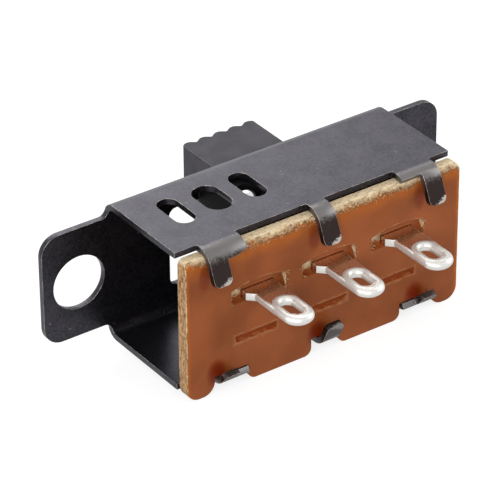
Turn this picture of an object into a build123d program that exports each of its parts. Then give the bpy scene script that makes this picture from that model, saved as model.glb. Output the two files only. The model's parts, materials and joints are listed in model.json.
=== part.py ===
from build123d import *

import math
import os

# Slide switch for panel mounting, three solder terminals in a row, one changeover.
# Millimetres. X runs along the frame and the knob's travel, +Y points out of the knob, +Z is up.
# The origin is the middle of the two mounting holes, on the outer face of the front wall.

# Mounting
hole_pitch = 28.5
hole_diameter = 4.2
hole_to_end = 2.95
ear_height = 8.7
ear_corner_radius = 1.45
ear_root_radius = 0.55

# Frame, one folded sheet
sheet = 0.45
channel_length = 23.4
channel_height = 11.1
channel_depth = 8.6
bend_inner_radius = 0.6
window_corner_radius = 0.6

# Tabs that are folded over the terminal board, placed from the channel's ends
tab_inner_inset = 4.95
upper_tab_inset = 1.8
lower_tab_inset = 2.4
tab_root_radius = 0.1
finger_width = 1.45
upper_tab_flat = 0.4
lower_tab_flat = 0.65
tab_bend_inner_radius = 0.9
shoulder_angle = 33.0
upper_finger_angle = 67.0
upper_finger_straight = 1.72
lower_middle_angle = 67.0
lower_middle_straight = 1.2
lower_end_angle = 55.0
lower_end_straight = 0.5
finger_tip_radius = 0.45

# Knob and carrier, moulded in one
knob_length = 6.25
knob_height = 5.0
knob_reach = 7.65
knob_edge_radius = 0.2
ridge_count = 5
ridge_inset = 0.465
ridge_depth = 0.45
ridge_radius = 0.12
travel = 6.0
window_end_clearance = 0.52
window_side_clearance = 0.65
carrier_length = 14.4
running_clearance = 0.1

# Detent
ball_diameter = 2.0
ball_offset = 5.5
ball_depth = 4.12
ball_clearance = 0.05
detent_slot_width = 1.6
detent_slot_length = 3.6
relief_slot_width = 2.1
relief_slot_length = 3.5
detent_spring_length = 3.4
detent_wire = 0.25
detent_turns = 7

# Terminal board
board_overhang = 0.05
board_thickness = 1.03
board_offset_x = 0.25
board_clearance = 0.1
board_foot = 0.7
board_corner_radius = 0.5
lobe_corner_radius = 0.6
foot_corner_radius = 1.0
notch_clearance = 0.05
middle_notch_width = 2.4
board_break_clearance = 0.24
slot_length = 4.6
slot_height = 1.1
slot_arch = 0.35
slot_recess = 0.5
slot_bottom = 0.35
slot_offset = 0.3
mark_length = 3.5
mark_height = 0.5
mark_depth = 0.3
mark_bottom = -2.8
mark_offset = 0.05

# Terminals
terminal_pitch = 6.0
terminal_thickness = 0.57
terminal_gap = 0.05
lug_offset = 0.45
lug_reach = 5.0
lug_width = 2.25
root_width = 2.7
root_bevel = 0.45
eye_length = 1.9
eye_width = 1.0
eye_land = 0.95
eye_band = 0.65
ring_bevel = 0.2
ring_rise = 0.05
neck_edge_radius = 0.15
pad_length = 3.2
pad_width = 4.2

# Moving contact and its spring
contact_thickness = 0.3
contact_height = 3.4
contact_overhang = 1.1
bump_radius = 0.9
bump_rise = 0.5
contact_clearance = 0.05
pocket_depth = 1.0
pocket_clearance = 0.15
contact_spring_diameter = 2.6
contact_spring_length = 3.8
contact_wire = 0.3
contact_turns = 6
spring_bore_clearance = 0.15
steps_per_turn = 14
wire_sides = 6

# Values that follow
wall_inner = -sheet
board_inner = -channel_depth
board_outer = board_inner - board_thickness
flange_outer = channel_height / 2
flange_inner = flange_outer - sheet
bend_outer_radius = bend_inner_radius + sheet
overall_length = hole_pitch + 2 * hole_to_end
window_length = knob_length + travel + 2 * window_end_clearance
window_height = knob_height + 2 * window_side_clearance
knob_centre = travel / 2
ball_x = knob_centre - ball_offset
ball_radius = ball_diameter / 2
tab_inner = channel_length / 2 - tab_inner_inset
upper_tab_outer = channel_length / 2 - upper_tab_inset
lower_tab_outer = channel_length / 2 - lower_tab_inset
board_length = channel_length + 2 * board_overhang
board_top = flange_inner - board_clearance
board_bottom = -flange_outer - board_foot
board_height = board_top - board_bottom
upper_bend_run = board_thickness - upper_tab_flat
lower_bend_run = board_thickness - lower_tab_flat
carrier_front = wall_inner - running_clearance
pad_face = board_inner + terminal_thickness
carrier_back = pad_face + pocket_clearance
slot_centre = board_offset_x + slot_offset
lug_bottom = slot_bottom + terminal_gap
contact_centre = slot_centre + terminal_pitch / 2


def prism_x(face, length):
    """A profile drawn as (Y, Z), drawn out along X by length, centred on X = 0."""
    return extrude(Plane.YZ * face, length / 2, both=True)


def prism_y(face, front, back):
    """A profile drawn as (X, Z), drawn out along Y from front to back."""
    return Pos(0, back, 0) * extrude(Plane.XZ * face, front - back, dir=(0, 1, 0))


# Frame

def channel_profile():
    """Closed outline of the folded sheet: front wall, two bends and two flanges."""
    outer = Pos(-channel_depth / 2, 0) * Rectangle(channel_depth, channel_height)
    outer = fillet(outer.vertices().group_by(Axis.X)[-1], bend_outer_radius)
    hollow_depth = channel_depth - sheet
    hollow = Rectangle(hollow_depth, channel_height - 2 * sheet)
    hollow = Pos(-sheet - hollow_depth / 2, 0) * hollow
    hollow = fillet(hollow.vertices().group_by(Axis.X)[-1], bend_inner_radius)
    return outer - hollow


def frame_silhouette():
    """Front outline of the blank: the channel with an ear at each end and a round in each corner."""
    body = Rectangle(channel_length, channel_height)
    ears = Rectangle(overall_length, ear_height)
    ears = fillet(ears.vertices(), ear_corner_radius)
    outline = body + ears
    roots = outline.vertices().filter_by(lambda v: abs(abs(v.X) - channel_length / 2) < 1e-6
                                         and abs(abs(v.Y) - ear_height / 2) < 1e-6)
    return fillet(roots, ear_root_radius)


def tab_profile(flat, angle, straight):
    """Side view of one upper tab from the flange's edge: flat, bend by angle, then straight."""
    inner = tab_bend_inner_radius
    outer = inner + sheet
    turn = math.radians(angle)
    bend_y = -channel_depth - flat
    centre = (bend_y, flange_outer - outer)
    along = (-math.cos(turn), -math.sin(turn))

    def on_bend(radius, at):
        return (centre[0] - radius * math.sin(at), centre[1] + radius * math.cos(at))

    outer_end = on_bend(outer, turn)
    inner_end = on_bend(inner, turn)
    outer_tip = (outer_end[0] + straight * along[0], outer_end[1] + straight * along[1])
    inner_tip = (inner_end[0] + straight * along[0], inner_end[1] + straight * along[1])
    root = -channel_depth + sheet
    edges = [Line((root, flange_outer), (bend_y, flange_outer)),
             ThreePointArc((bend_y, flange_outer), on_bend(outer, turn / 2), outer_end)]
    if straight > 0:
        edges.append(Line(outer_end, outer_tip))
        edges.append(Line(inner_tip, inner_end))
    edges.append(Line(outer_tip, inner_tip))
    edges.append(ThreePointArc(inner_end, on_bend(inner, turn / 2), (bend_y, flange_inner)))
    edges.append(Line((bend_y, flange_inner), (root, flange_inner)))
    edges.append(Line((root, flange_inner), (root, flange_outer)))
    return make_face(Wire.combine(edges)[0])


def bend_rise(run):
    """How far a tab's inner face has left the flange's plane at a distance past its bend's start."""
    return tab_bend_inner_radius - math.sqrt(tab_bend_inner_radius ** 2 - run ** 2)


def root_rounds(left, right):
    """Concave rounds where a tab leaves the flange's edge."""
    side = tab_root_radius
    block = Pos((left + right) / 2, -channel_depth - side / 2)
    block *= Rectangle(right - left + 2 * side, side)
    for x in (left - side, right + side):
        block -= Pos(x, -channel_depth - side) * Circle(side)
    return extrude(Pos(0, 0, flange_inner) * block, sheet)


def finger(centre, flat, angle, straight):
    """One bent finger of the upper flange, with its tip corners rounded."""
    bar = Pos(centre, 0, 0) * prism_x(tab_profile(flat, angle, straight), finger_width)
    tip_edges = bar.edges().filter_by(lambda e: abs(e.length - sheet) < 1e-4).sort_by(Axis.Y)[:2]
    return fillet(tip_edges, finger_tip_radius)


def flange_tabs(outer, flat, middle_bend, end_bend):
    """Three tabs on one flange: a plain finger between two tabs with shoulders.

    Each bend is a finger's angle and the straight length after it.
    """
    tabs = finger(0, flat, *middle_bend) + root_rounds(-finger_width / 2, finger_width / 2)
    for side in (-1, 1):
        middle = side * (tab_inner + outer) / 2
        width = outer - tab_inner
        shoulder = Pos(middle, 0, 0) * prism_x(tab_profile(flat, shoulder_angle, 0), width)
        tabs += shoulder + root_rounds(middle - width / 2, middle + width / 2)
        tabs += finger(side * (outer - finger_width / 2), flat, *end_bend)
    return tabs


def make_gusset():
    """Web of the upper left tab: it bends with its finger and ends on a diagonal."""
    left = -upper_tab_outer + finger_width
    right = -tab_inner
    low = tab_end_z(upper_finger_angle)
    high = tab_end_z(shoulder_angle)
    web = prism_x(tab_profile(upper_tab_flat, upper_finger_angle, 0), right - left)
    keep = Polygon((left, low), (right, high), (right, flange_outer), (left, flange_outer), align=None)
    return Pos((left + right) / 2, 0, 0) * web & prism_y(keep, -channel_depth, 2 * -channel_depth)


def tab_end_z(angle):
    """Height of the inner face where a tab has bent by an angle."""
    centre = flange_inner - tab_bend_inner_radius
    return centre + tab_bend_inner_radius * math.cos(math.radians(angle))


def flange_slot(x, width, length):
    """Round-ended opening through the upper flange, lengthwise in Y."""
    opening = Pos(x, -ball_depth, flange_inner) * Rot(0, 0, 90) * SlotOverall(length, width)
    return extrude(opening, 2 * sheet, both=True)


def make_frame():
    frame = prism_x(channel_profile(), overall_length)
    frame &= prism_y(frame_silhouette(), sheet, -channel_depth - sheet)
    for side in (-1, 1):
        hole = Pos(side * hole_pitch / 2, 0) * Circle(hole_diameter / 2)
        frame -= prism_y(hole, sheet, -2 * sheet)
    window = RectangleRounded(window_length, window_height, window_corner_radius)
    frame -= prism_y(window, sheet, -2 * sheet)
    for x in (ball_x, ball_x - travel):
        frame -= flange_slot(x, detent_slot_width, detent_slot_length)
    frame -= flange_slot(ball_x - travel / 2, relief_slot_width, relief_slot_length)
    upper_bend = (upper_finger_angle, upper_finger_straight)
    frame += flange_tabs(upper_tab_outer, upper_tab_flat, upper_bend, upper_bend)
    frame += make_gusset()
    lower_middle = (lower_middle_angle, lower_middle_straight)
    lower_end = (lower_end_angle, lower_end_straight)
    lower = flange_tabs(lower_tab_outer, lower_tab_flat, lower_middle, lower_end)
    frame += Pos(board_offset_x, 0, 0) * mirror(lower, Plane.XY)
    return frame


# Terminal board

def board_outline():
    """Outline about the board's own centre, with a notch for each of the lower tabs."""
    edge = board_height / 2
    notch_depth = board_foot + sheet + bend_rise(lower_bend_run) + notch_clearance
    room = tab_root_radius + notch_clearance
    end_width = lower_tab_outer - tab_inner + 2 * room
    end_centre = (tab_inner + lower_tab_outer) / 2
    outline = Rectangle(board_length, board_height)
    for x, width in ((-end_centre, end_width), (0, middle_notch_width), (end_centre, end_width)):
        outline -= Pos(x, -edge) * Rectangle(width, 2 * notch_depth)
    for radius, picked in (
            (board_corner_radius, lambda v: v.Y > 0),
            (foot_corner_radius, lambda v: v.Y < -edge + 1e-6 and abs(v.X) > end_centre),
            (lobe_corner_radius, lambda v: v.Y < -edge + 1e-6 and abs(v.X) < end_centre)):
        outline = fillet(outline.vertices().filter_by(picked), radius)
    return outline


def slot_outline():
    """Lanced area around one lug, with a shallow arch on top; its lower edge is at y = 0."""
    half = slot_length / 2
    sides = Polyline((half, slot_height), (half, 0), (-half, 0), (-half, slot_height))
    arch = ThreePointArc((-half, slot_height), (0, slot_height + slot_arch), (half, slot_height))
    return make_face([sides, arch])


def slot_opening():
    """Through slot for the strip's root, at the foot of the lanced area."""
    middle = lug_offset + (lug_width - root_width) / 2
    height = terminal_thickness + 2 * terminal_gap
    return Pos(middle, height / 2) * Rectangle(root_width + 2 * terminal_gap, height)


def make_terminal_board():
    place = Pos(board_offset_x, (board_top + board_bottom) / 2)
    board = prism_y(place * board_outline(), board_inner, board_outer)
    board -= edge_break()
    for index in (-1, 0, 1):
        x = slot_centre + index * terminal_pitch
        board -= prism_y(Pos(x, slot_bottom) * slot_opening(), board_inner, board_outer)
        lanced = Pos(x, slot_bottom) * slot_outline()
        board -= prism_y(lanced, board_outer + slot_recess, board_outer)
        mark_x = board_offset_x + mark_offset + index * terminal_pitch
        mark = Pos(mark_x, mark_bottom + mark_height / 2) * Rectangle(mark_length, mark_height)
        board -= prism_y(mark, board_outer + mark_depth, board_outer)
    return board


def edge_break():
    """Wedge that takes the outer top edge off the board, where the upper tabs bend over it."""
    depth = upper_bend_run / 2
    height = bend_rise(upper_bend_run) + board_break_clearance
    wedge = Polygon((board_outer, board_top), (board_outer + depth, board_top),
                    (board_outer, board_top - height), align=None)
    return Pos(board_offset_x, 0, 0) * prism_x(wedge, board_length)


# Terminals

def eye_shape(margin):
    """Round-ended shape of the solder eye, lengthwise in Y, made larger by a margin."""
    middle = board_outer - lug_reach + eye_land + eye_length / 2
    shape = SlotOverall(eye_length + margin, eye_width + margin)
    return Pos(0, middle) * Rot(0, 0, 90) * shape


def make_ring():
    """Coined ring around the solder eye, a little thicker than the strip, with bevelled rims."""
    tip = board_outer - lug_reach
    length = eye_land + eye_length + eye_band
    ring = Pos(0, tip + length / 2) * Rot(0, 0, 90) * SlotOverall(length, lug_width)
    solid = extrude(ring - eye_shape(0), terminal_thickness + 2 * ring_rise, dir=(0, 0, 1))
    rims = solid.edges().filter_by(lambda e: e.bounding_box().size.Z < 1e-6)
    return Pos(0, 0, -ring_rise) * chamfer(rims, ring_bevel)


def make_neck():
    """Flat strip from the ring into the board's slot, wider where it is staked."""
    half = lug_width / 2
    shoulder = board_outer - root_bevel
    end = board_outer - lug_reach + eye_land + eye_length + eye_band - half
    root_left = half - root_width
    root_start = board_inner - terminal_gap
    outline = Polygon((root_left, root_start), (half, root_start), (half, end), (-half, end),
                      (-half, shoulder), (root_left, board_outer), align=None)
    neck = extrude(outline - eye_shape(eye_band), terminal_thickness, dir=(0, 0, 1))
    sides = neck.edges().filter_by(Axis.Y).filter_by(lambda e: abs(abs(e.center().X) - half) < 1e-6)
    return fillet(sides, neck_edge_radius)


def pad_profile():
    """Side view of the strip's bend and of the pad on the board's inner face."""
    centre = (board_inner - terminal_gap, lug_bottom - terminal_gap)
    inner = terminal_gap
    outer = terminal_gap + terminal_thickness
    half = math.radians(45)
    end = centre[1] - pad_length
    corner = (centre[0] + inner * math.cos(half), centre[1] + inner * math.sin(half))
    crown = (centre[0] + outer * math.cos(half), centre[1] + outer * math.sin(half))
    edges = [ThreePointArc((centre[0], centre[1] + outer), crown, (centre[0] + outer, centre[1])),
             Line((centre[0] + outer, centre[1]), (centre[0] + outer, end)),
             Line((centre[0] + outer, end), (board_inner, end)),
             Line((board_inner, end), (centre[0] + inner, centre[1])),
             ThreePointArc((centre[0] + inner, centre[1]), corner, (centre[0], centre[1] + inner)),
             Line((centre[0], centre[1] + inner), (centre[0], centre[1] + outer))]
    return make_face(Wire.combine(edges)[0])


def make_terminal(index):
    """One terminal, folded from a strip: solder lug outside, contact pad inside."""
    lug = Pos(slot_centre + lug_offset, 0, lug_bottom) * (make_ring() + make_neck())
    root_middle = slot_centre + lug_offset + (lug_width - root_width) / 2
    bend = Pos(root_middle, 0, 0) * prism_x(pad_profile(), root_width)
    pad_top = lug_bottom - 2 * terminal_gap
    pad_middle = pad_top - (pad_length - terminal_gap) / 2
    pad = Box(pad_width, terminal_thickness, pad_length - terminal_gap)
    pad = Pos(slot_centre, board_inner + terminal_thickness / 2, pad_middle) * pad
    return Pos(index * terminal_pitch, 0, 0) * (lug + bend + pad)


# Slider

def ridged_outline():
    """Plan of the knob from inside the carrier to its tip, with rounded ridges across the tip."""
    half = knob_length / 2
    pitch = (knob_length - 2 * ridge_inset) / (ridge_count - 1)
    shoulder = knob_reach - ridge_depth * ridge_inset / (pitch / 2)
    start = carrier_front - running_clearance
    points = [(-half, start), (-half, shoulder)]
    for index in range(ridge_count):
        crest = -half + ridge_inset + index * pitch
        points.append((crest, knob_reach))
        if index < ridge_count - 1:
            points.append((crest + pitch / 2, knob_reach - ridge_depth))
    points += [(half, shoulder), (half, start)]
    outline = make_face(Polyline(*points, close=True))
    tips = outline.vertices().filter_by(lambda v: v.Y > start + 1e-6)
    return fillet(tips, ridge_radius)


def make_knob():
    """Knob whose upper and lower edges are rounded by crossing two profiles."""
    plan = extrude(ridged_outline(), knob_height / 2, both=True)
    reach = 2 * knob_reach
    side = fillet(Rectangle(reach, knob_height).vertices(), knob_edge_radius)
    return Pos(knob_centre, 0, 0) * (plan & prism_x(side, knob_length))


def make_slider():
    depth = carrier_front - carrier_back
    height = 2 * (flange_inner - running_clearance)
    section = Pos(carrier_back + depth / 2, 0) * Rectangle(depth, height)
    section = fillet(section.vertices().group_by(Axis.X)[-1], bend_inner_radius)
    slider = Pos(knob_centre, 0, 0) * prism_x(section, carrier_length)
    slider += make_knob()
    bore_depth = ball_radius + detent_spring_length
    bore = Cylinder(ball_radius + ball_clearance, bore_depth + ball_radius,
                    align=(Align.CENTER, Align.CENTER, Align.MIN))
    slider -= Pos(ball_x, -ball_depth, ball_rest_z() - bore_depth) * bore
    pocket_length = terminal_pitch + 2 * (contact_overhang + pocket_clearance)
    pocket_height = contact_height + 2 * pocket_clearance
    pocket = Pos(contact_centre, 0) * Rectangle(pocket_length, pocket_height)
    slider -= prism_y(pocket, carrier_back + pocket_depth, carrier_back)
    well = Pos(contact_centre, 0) * Circle(contact_spring_diameter / 2 + spring_bore_clearance)
    slider -= prism_y(well, contact_back() + contact_spring_length, carrier_back)
    return slider


# Detent and moving contact

def ball_rest_z():
    """Height of the ball's centre when it rolls under the flange."""
    return flange_inner - ball_radius - ball_clearance


def make_detent_ball():
    return Pos(ball_x, -ball_depth, ball_rest_z()) * Sphere(ball_radius)


def facet(points):
    """Flat face through points, in order."""
    return Face(Wire.make_polygon(points))


def wire_ring(mean_radius, wire, turn, height):
    """Points around the wire where it has turned by an angle and climbed to a height."""
    ring = []
    for side in range(wire_sides):
        around = 2 * math.pi * side / wire_sides
        reach = mean_radius + wire / 2 * math.cos(around)
        rise = height + wire / 2 * math.sin(around)
        ring.append(Vector(reach * math.cos(turn), reach * math.sin(turn), rise))
    return ring


def coil(mean_radius, wire, length, turns):
    """Compression spring on the Z axis, from z = 0 up to its length, its round wire in flats."""
    steps = turns * steps_per_turn
    rings = []
    for step in range(steps + 1):
        height = wire / 2 + (length - wire) * step / steps
        rings.append(wire_ring(mean_radius, wire, 2 * math.pi * step / steps_per_turn, height))
    faces = [facet(rings[0]), facet(rings[-1])]
    for here, there in zip(rings, rings[1:]):
        for side in range(wire_sides):
            following = (side + 1) % wire_sides
            faces.append(facet([here[side], here[following], there[following]]))
            faces.append(facet([here[side], there[following], there[side]]))
    return Solid(Shell(faces))


def make_detent_spring():
    mean_radius = ball_radius - detent_wire / 2 - ball_clearance
    spring = coil(mean_radius, detent_wire, detent_spring_length, detent_turns)
    return Pos(ball_x, -ball_depth, ball_rest_z() - ball_radius - detent_spring_length) * spring


def contact_back():
    """Y of the moving contact's back, where its spring bears."""
    return pad_face + contact_clearance + bump_rise + contact_thickness


def make_contact_spring():
    mean_radius = (contact_spring_diameter - contact_wire) / 2
    spring = coil(mean_radius, contact_wire, contact_spring_length, contact_turns)
    return Pos(contact_centre, contact_back(), 0) * Rot(-90, 0, 0) * spring


def bump_profile(x):
    """Circular segment that stands out of the strip's front by the bump's rise."""
    front = contact_back() - contact_thickness
    disc = Pos(x, front - bump_rise + bump_radius) * Circle(bump_radius)
    keep = Pos(x, front - bump_radius) * Rectangle(4 * bump_radius, 2 * bump_radius)
    return disc & keep


def make_moving_contact():
    """Springy strip with a pressed bump at each end, one on each of two neighbouring pads."""
    length = terminal_pitch + 2 * contact_overhang
    front = contact_back() - contact_thickness
    strip = Pos(contact_centre, front + contact_thickness / 2) * Rectangle(length, contact_thickness)
    for side in (-1, 1):
        strip += bump_profile(contact_centre + side * terminal_pitch / 2)
    body = extrude(strip, contact_height / 2, both=True)
    long_edges = body.edges().filter_by(Axis.Y)
    return fillet(long_edges, contact_thickness)


os.makedirs("parts", exist_ok=True)
nodes = {
    "frame": make_frame(),
    "terminal_board": make_terminal_board(),
    "terminal_left": make_terminal(-1),
    "terminal_middle": make_terminal(0),
    "terminal_right": make_terminal(1),
    "slider": make_slider(),
    "moving_contact": make_moving_contact(),
    "contact_spring": make_contact_spring(),
    "detent_spring": make_detent_spring(),
    "detent_ball": make_detent_ball(),
}
for name, shape in nodes.items():
    export_step(shape, f"parts/{name}.step")
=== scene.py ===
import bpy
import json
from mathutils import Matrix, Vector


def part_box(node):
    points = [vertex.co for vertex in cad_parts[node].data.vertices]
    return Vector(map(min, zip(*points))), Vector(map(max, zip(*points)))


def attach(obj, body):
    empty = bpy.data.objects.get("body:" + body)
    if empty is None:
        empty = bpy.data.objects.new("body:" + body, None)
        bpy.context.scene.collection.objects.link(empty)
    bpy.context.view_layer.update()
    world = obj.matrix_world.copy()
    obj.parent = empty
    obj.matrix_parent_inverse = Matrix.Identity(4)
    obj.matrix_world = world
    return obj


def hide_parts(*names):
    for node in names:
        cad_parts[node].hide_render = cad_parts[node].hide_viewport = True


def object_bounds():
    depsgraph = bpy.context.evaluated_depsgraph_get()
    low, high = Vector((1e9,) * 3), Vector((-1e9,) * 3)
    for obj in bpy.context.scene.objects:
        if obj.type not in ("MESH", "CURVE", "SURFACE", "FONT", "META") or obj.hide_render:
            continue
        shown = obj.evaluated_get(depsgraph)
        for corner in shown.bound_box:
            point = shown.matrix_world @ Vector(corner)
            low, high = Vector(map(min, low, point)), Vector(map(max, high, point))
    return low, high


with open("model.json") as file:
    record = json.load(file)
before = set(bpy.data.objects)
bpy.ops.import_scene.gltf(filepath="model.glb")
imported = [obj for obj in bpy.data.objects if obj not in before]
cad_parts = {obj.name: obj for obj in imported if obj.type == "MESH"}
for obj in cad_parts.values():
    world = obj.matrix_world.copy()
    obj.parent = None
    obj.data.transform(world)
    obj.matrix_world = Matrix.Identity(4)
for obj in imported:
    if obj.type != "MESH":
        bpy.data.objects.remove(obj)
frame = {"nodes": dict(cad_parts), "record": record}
CAD_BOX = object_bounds()

# A slide switch: its finishes, with painted highlights, shade and reflections, solder rings and
# torn fibres, in a white studio.
"""A slide switch: its finishes, worn edges, solder rings and torn fibres, in a white studio."""

import json
import logging
import math
from dataclasses import dataclass
from enum import Enum, IntEnum
from typing import Callable, Optional, Sequence, Union

import bmesh
import bpy
from mathutils import Matrix, Vector

LOG = logging.getLogger("slide_switch")
MM = 0.001

Socket = bpy.types.NodeSocket
Node = bpy.types.Node
Value = Union[float, Sequence[float], Socket, Node]
Colour = tuple[float, float, float, float]
Pair = tuple[float, float]
Triple = tuple[float, float, float]

MATH = "ShaderNodeMath"
VECTOR = "ShaderNodeVectorMath"
NOISE = "ShaderNodeTexNoise"
RANGE = "ShaderNodeMapRange"
MIX = "ShaderNodeMix"
BUMP = "ShaderNodeBump"
RANDOM = "FunctionNodeRandomValue"
SMOOTH = {"interpolation_type": "SMOOTHSTEP"}
# Limits between which nearly all of a noise's values lie.
NOISE_SPAN = (0.2, 0.8)
# Share of its true slope that a relief in a material is shown with.
RELIEF = {"Strength": 0.5}
# Least part of a face's normal along an axis for a face that looks that way.
LOOKS_ALONG = 0.8
# How finely a noise breaks up: its octaves, and the strength of each over the one before.
CALM = {"Detail": 2.0, "Roughness": 0.5}
CLOUDY = {"Detail": 3.0, "Roughness": 0.5}
LUMPY = {"Detail": 3.0, "Roughness": 0.6}
STREAKY = {"Detail": 4.0, "Roughness": 0.6}
PATCHY = {"Detail": 4.0, "Roughness": 0.65}
GRAINY = {"Detail": 5.0, "Roughness": 0.6}
FIBROUS = {"Detail": 5.0, "Roughness": 0.65}
RAGGED = {"Detail": 5.0, "Roughness": 0.7}
SPECKLED = {"Detail": 5.0, "Roughness": 0.8}
TUFTED = {"Detail": 6.0, "Roughness": 0.75}


def linear_from_hex(code: str) -> Colour:
    """Turns an sRGB colour into the linear values that a shader takes.

    Args:
        code: Colour as "#rrggbb".

    Returns:
        Linear red, green and blue, and an alpha of 1.
    """
    channels = [int(code[i:i + 2], 16) / 255 for i in (1, 3, 5)]
    linear = [c / 12.92 if c <= 0.04045 else ((c + 0.055) / 1.055) ** 2.4 for c in channels]
    return (linear[0], linear[1], linear[2], 1.0)


class NodeTree:
    """A node tree that is filled from empty, one node a call."""

    def __init__(self, tree: bpy.types.NodeTree) -> None:
        """Empties the tree."""
        self.tree = tree
        self.tree.nodes.clear()

    def add(self, kind: str, *values: Value, **named: Union[Value, str]) -> Node:
        """Adds a node with its settings and links.

        Args:
            kind: Type of the node.
            *values: Values of its first inputs, in order, of those that its settings leave in use.
            **named: Settings, in lower case, and inputs by name, with "_" for a blank. A value that
                is a socket is linked, and a node is linked by its first output in use.

        Returns:
            The new node.
        """
        node = self.tree.nodes.new(kind)
        for name, value in named.items():
            if name.islower():
                setattr(node, name, value)
        inputs = [socket for socket in node.inputs if socket.enabled]
        pairs = list(zip(inputs, values))
        for name, value in named.items():
            if not name.islower():
                label = name.replace("_", " ")
                pairs.append((next(socket for socket in inputs if socket.name == label), value))
        for socket, value in pairs:
            if isinstance(value, Node):
                value = next(output for output in value.outputs if output.enabled)
            if isinstance(value, Socket):
                self.tree.links.new(value, socket)
            else:
                socket.default_value = value
        return node


class Shader(NodeTree):
    """The nodes of a material or a world, with lengths in millimetres."""

    def __init__(self, owner: Union[bpy.types.Material, bpy.types.World]) -> None:
        """Takes the owner's tree and empties it."""
        owner.use_nodes = True
        super().__init__(owner.node_tree)

    def place(self, stretch: Sequence[float] = (1.0, 1.0, 1.0)) -> Node:
        """Adds the place on the object, in millimetres.

        Args:
            stretch: Factor on each axis.

        Returns:
            The node that gives it.
        """
        where = self.add("ShaderNodeTexCoord").outputs["Object"]
        return self.add(VECTOR, where, [s / MM for s in stretch], operation="MULTIPLY")

    def axes(self) -> tuple[Socket, Socket, Socket]:
        """Adds the place on the object and gives its X, Y and Z, in millimetres."""
        return tuple(self.add("ShaderNodeSeparateXYZ", self.place()).outputs)

    def seen(self) -> Node:
        """Adds a value of 1 for what a camera, reflection or refraction sees, else 0.

        Returns:
            The node that gives it.
        """
        rays = self.add("ShaderNodeLightPath").outputs
        glossy, clear = rays["Is Glossy Ray"], rays["Is Transmission Ray"]
        through = self.add(MATH, glossy, clear, operation="MAXIMUM")
        return self.add(MATH, rays["Is Camera Ray"], through, operation="MAXIMUM")

    def coat(self, colour: Value, *layers: tuple[Node, str]) -> Node:
        """Lays colours over one another.

        Args:
            colour: The lowest one.
            *layers: Mask and "#rrggbb" colour of each layer, from the lowest up.

        Returns:
            The node that gives what is seen.
        """
        for mask, code in layers:
            colour = self.add(MIX, mask, colour, linear_from_hex(code), data_type="RGBA")
        return colour

    def finish(self, **inputs: Value) -> None:
        """Adds the surface shader with these inputs, and the output."""
        self.add("ShaderNodeOutputMaterial", Surface=self.add("ShaderNodeBsdfPrincipled", **inputs))


class Surface:
    """What every finish is: a name, and the nodes that draw it.

    Attributes:
        name: Material name.
    """

    name: str

    def draw(self, tree: Shader) -> None:
        """Adds the finish's nodes to an empty tree."""
        raise NotImplementedError

    def build(self) -> bpy.types.Material:
        """Makes the finish's material.

        Returns:
            The material.
        """
        material = bpy.data.materials.new(self.name)
        self.draw(Shader(material))
        return material


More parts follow.
